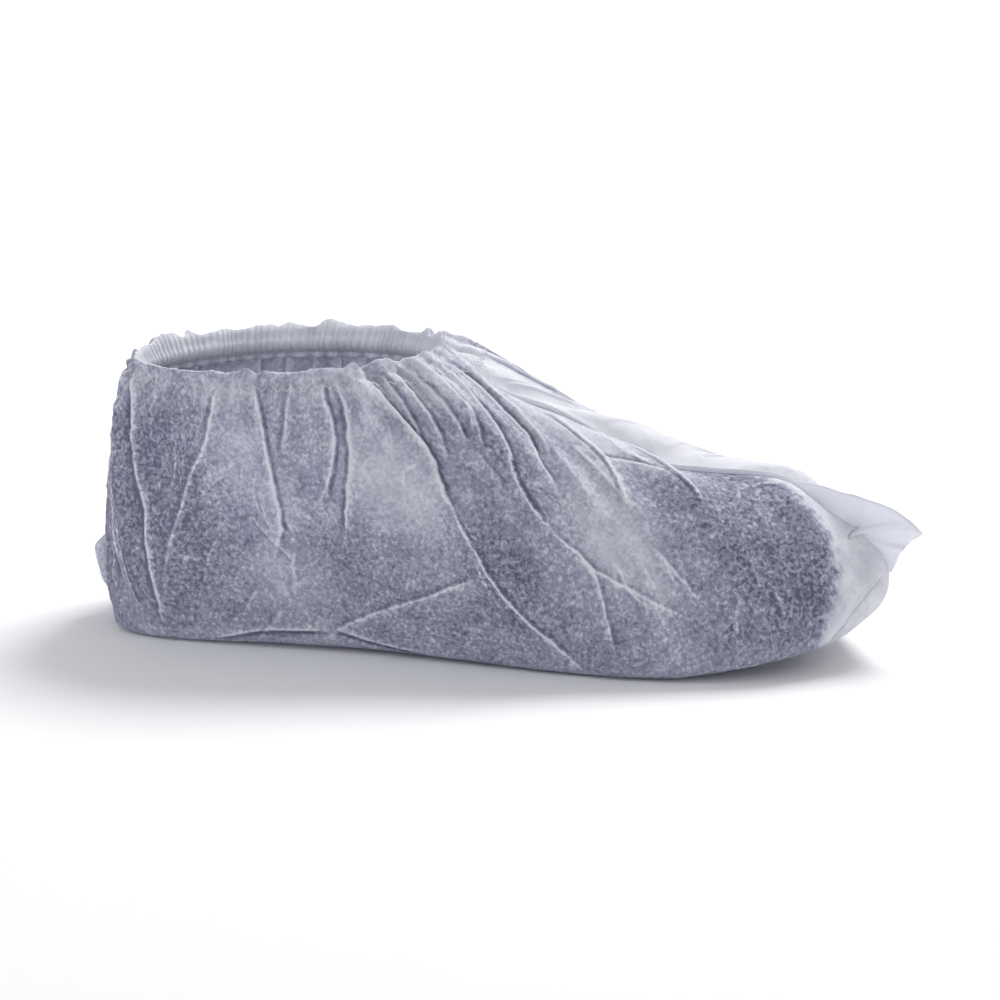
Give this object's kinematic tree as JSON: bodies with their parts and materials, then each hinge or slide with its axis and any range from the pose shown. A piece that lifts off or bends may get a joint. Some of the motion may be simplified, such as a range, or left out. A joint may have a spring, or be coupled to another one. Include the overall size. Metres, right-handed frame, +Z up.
{
  "type": "shoe cover",
  "caption": "Disposable shoe cover of thin nonwoven cloth, hollow, with a gathered elastic ankle opening, a raised front seam and a pinched toe.",
  "frame": {"origin": "middle of the cover's bounding box, on the surface it stands on", "axes": "+X towards the toe, +Z up, -Y towards the outer side of a right foot"},
  "size_m": [0.3336, 0.1179, 0.1188],
  "materials": {
    "nonwoven_cloth": "matt pale lilac-grey spunbond nonwoven, thin and slightly translucent",
    "seam_cloth": "the same nonwoven, doubled and pressed flat along the seam",
    "covered_elastic": "soft white elastic band under the turned hem"
  },
  "bodies": {
    "root": {"cover_shell": "nonwoven_cloth", "front_seam": "seam_cloth", "heel_seam": "seam_cloth", "opening_elastic": "covered_elastic"}
  },
  "joints": []
}
